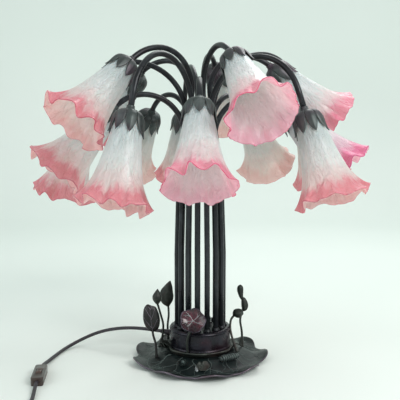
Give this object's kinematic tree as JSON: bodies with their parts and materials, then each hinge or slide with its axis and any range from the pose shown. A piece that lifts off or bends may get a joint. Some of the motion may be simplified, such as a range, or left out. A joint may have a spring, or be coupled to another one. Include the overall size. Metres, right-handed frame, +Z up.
{
  "type": "table lamp",
  "caption": "Pond lily table lamp: a spray of bent bronze tubes rises from a lily pad base, each ending in a leaf cap and a ruffled pink-edged glass flower shade.",
  "frame": {"origin": "on the table, under the middle of the base, at the felt pad's lower face", "axes": "+Z up, +X to the right and +Y to the back as the lamp is seen in the picture"},
  "size_m": [0.5812, 0.6224, 0.5378],
  "materials": {
    "bronze": "dark bronze patina, near black, with a satin sheen",
    "verdigris_bronze": "grey-green bronze patina",
    "cast_bronze": "dark cast metal with a bronze patina, blue-grey on the high lines",
    "ruby_glaze": "glossy red-purple enamel over cast metal",
    "lily_glass": "frosted white glass that turns pink at a ruffled rim",
    "plated_steel": "zinc plated",
    "cover_steel": "black enamel",
    "felt": "dense felt",
    "socket_plastic": "phenolic socket",
    "bulb_glass": "frosted bulb",
    "cord_rubber": "dark brown lamp lead",
    "switch_plastic": "dark brown moulding",
    "rocker_plastic": "dark brown moulding",
    "plug_plastic": "dark brown moulding"
  },
  "bodies": {
    "lamp": {"arm_01": "bronze", "arm_02": "bronze", "arm_03": "bronze", "arm_04": "bronze", "arm_05": "bronze", "arm_06": "bronze", "arm_07": "bronze", "arm_08": "bronze", "arm_09": "bronze", "arm_10": "bronze", "arm_11": "bronze", "arm_12": "bronze", "arm_13": "bronze", "arm_14": "bronze", "arm_15": "bronze", "back_leaf": "cast_bronze", "base_blossoms": "cast_bronze", "base_pad": "cast_bronze", "bottom_cover": "cover_steel", "bulbs": "bulb_glass", "cord_coil": "cord_rubber", "cord_lead": "cord_rubber", "cord_tail": "cord_rubber", "cover_screws": "plated_steel", "felt_pad": "felt", "flower_dish": "ruby_glaze", "foot_ferrules": "bronze", "left_bud": "cast_bronze", "left_pod": "cast_bronze", "low_caps": "verdigris_bronze", "pad_step": "cast_bronze", "plug": "plug_plastic", "right_buds": "cast_bronze", "shade_01": "lily_glass", "shade_02": "lily_glass", "shade_03": "lily_glass", "shade_04": "lily_glass", "shade_05": "lily_glass", "shade_06": "lily_glass", "shade_07": "lily_glass", "shade_08": "lily_glass", "shade_09": "lily_glass", "shade_10": "lily_glass", "shade_11": "lily_glass", "shade_12": "lily_glass", "shade_13": "lily_glass", "shade_14": "lily_glass", "shade_15": "lily_glass", "sockets": "socket_plastic", "stem_drum": "bronze", "strain_relief": "cord_rubber", "switch_lower_shell": "switch_plastic", "switch_upper_shell": "switch_plastic", "tendril": "cast_bronze", "tie_nuts": "plated_steel", "tie_rod": "plated_steel", "upper_caps": "verdigris_bronze", "wide_caps": "verdigris_bronze"},
    "rocker": {"switch_rocker": "rocker_plastic"}
  },
  "joints": [
    {"name": "rocker_press", "type": "hinge", "parent": "lamp", "child": "rocker", "pos_m": [-0.2605, -0.096, 0.01008], "axis": [0.9956, 0.0933, 0], "range_deg": [0, 18]}
  ]
}
